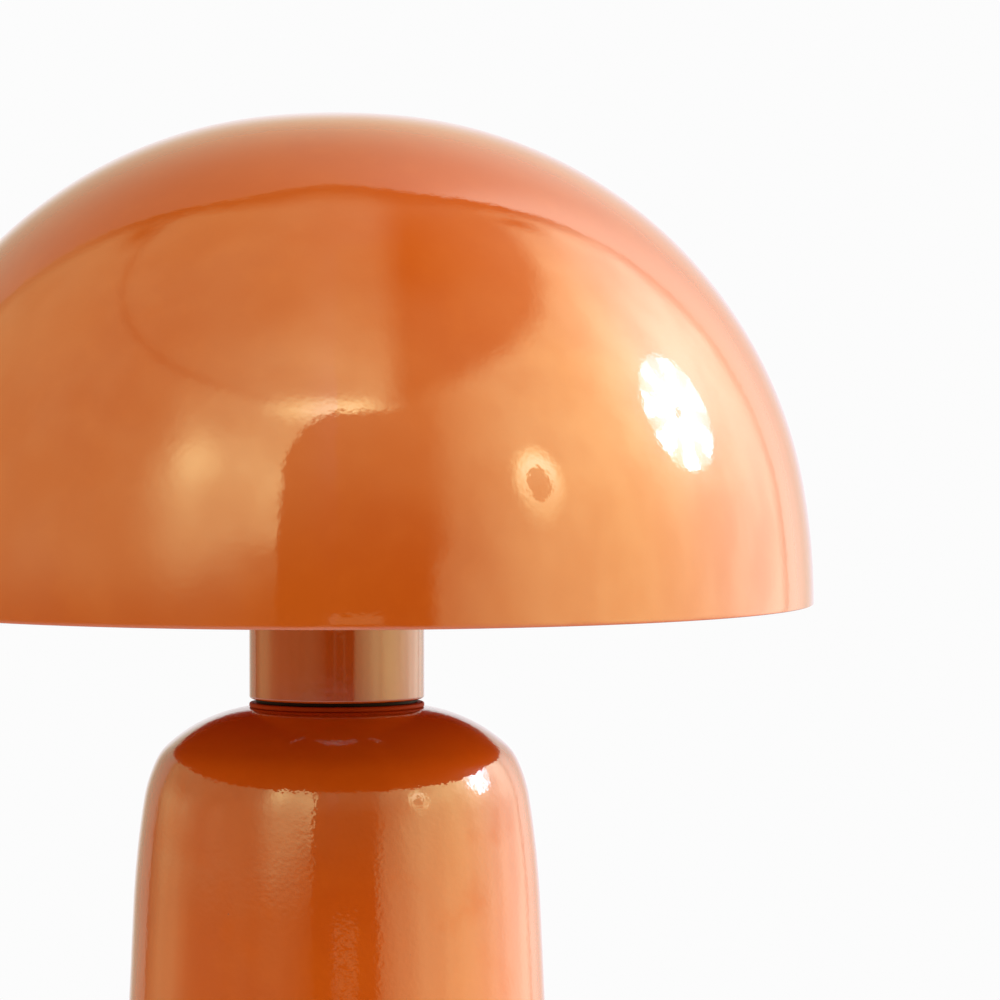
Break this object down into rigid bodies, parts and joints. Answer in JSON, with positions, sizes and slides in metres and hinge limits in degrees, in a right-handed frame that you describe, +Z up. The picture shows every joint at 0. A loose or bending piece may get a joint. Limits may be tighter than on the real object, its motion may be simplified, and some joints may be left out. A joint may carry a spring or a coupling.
{
  "type": "mushroom floor lamp",
  "caption": "Floor lamp with a domed metal shade resting on a three-armed carrier over a tall tapering body with a rounded shoulder and a short cylindrical neck.",
  "frame": {"origin": "centre of the footprint on the floor, on the lamp's vertical axis", "axes": "+Z up along the lamp's axis, -Y towards the front that the picture shows, +Y towards the rear with the cord inlet, +X to the right seen from the front"},
  "size_m": [0.4999, 0.5, 0.9997],
  "materials": {
    "orange_enamel": "gloss",
    "black_plastic": "satin",
    "zinc_steel": "satin",
    "nickel_steel": "satin",
    "raw_steel": "satin",
    "hub_aluminium": "satin",
    "ballast_iron": "matte",
    "plate_enamel": "satin",
    "pad_rubber": "matte",
    "tip_silicone": "satin",
    "holder_ceramic": "satin",
    "contact_brass": "satin",
    "cap_nickel": "satin",
    "insulator_black": "gloss",
    "housing_white": "satin",
    "globe_opal": "satin",
    "led_phosphor": "satin",
    "board_green": "satin",
    "lead_sheath": "satin",
    "block_plastic": "satin"
  },
  "bodies": {
    "stand": {"body_shell": "orange_enamel", "collar_plate": "orange_enamel", "neck_shell": "orange_enamel", "neck_cap": "orange_enamel", "gap_spacer": "black_plastic", "holder_cap": "black_plastic", "holder_skirt": "black_plastic", "shade_ring": "black_plastic", "carrier_hub": "hub_aluminium", "carrier_arms": "nickel_steel", "carrier_tips": "tip_silicone", "arm_grub_screws": "zinc_steel", "cord_grommet": "pad_rubber", "floor_pad": "pad_rubber", "neck_washer": "zinc_steel", "neck_nut": "zinc_steel", "shoulder_plate": "raw_steel", "shoulder_nut": "zinc_steel", "stem_tube": "zinc_steel", "weld_ring": "raw_steel", "ballast_weight": "ballast_iron", "base_plate": "plate_enamel", "base_screws": "zinc_steel", "lower_washer": "zinc_steel", "lower_nut": "zinc_steel", "earth_tag": "contact_brass", "terminal_block": "block_plastic", "terminal_screws": "zinc_steel", "block_screws": "zinc_steel", "inner_lead": "lead_sheath", "holder_insert": "holder_ceramic", "holder_screw_shell": "contact_brass", "holder_contact": "contact_brass"},
    "shade": {"shade_dome": "orange_enamel"},
    "bulb_lift": {"bulb_tip": "contact_brass"},
    "bulb": {"bulb_insulator": "insulator_black", "bulb_cap": "cap_nickel", "bulb_housing": "housing_white", "bulb_led_plate": "hub_aluminium", "bulb_led_chips": "led_phosphor", "bulb_driver_board": "board_green", "bulb_globe": "globe_opal"}
  },
  "joints": [
    {"name": "shade_lift", "type": "slide", "parent": "stand", "child": "shade", "axis": [0, 0, 1], "range_m": [0, 0.25]},
    {"name": "bulb_rise", "type": "slide", "parent": "stand", "child": "bulb_lift", "axis": [0, 0, 1], "range_m": [0, 0.01996]},
    {"name": "bulb_turn", "type": "hinge", "parent": "bulb_lift", "child": "bulb", "pos_m": [0, 0, 0.81], "axis": [0, 0, 1], "range_deg": [0, 1980]}
  ],
  "couplings": [
    {"joint": "bulb_rise", "follows": "bulb_turn", "m_per_rad": 0.00057757}
  ]
}
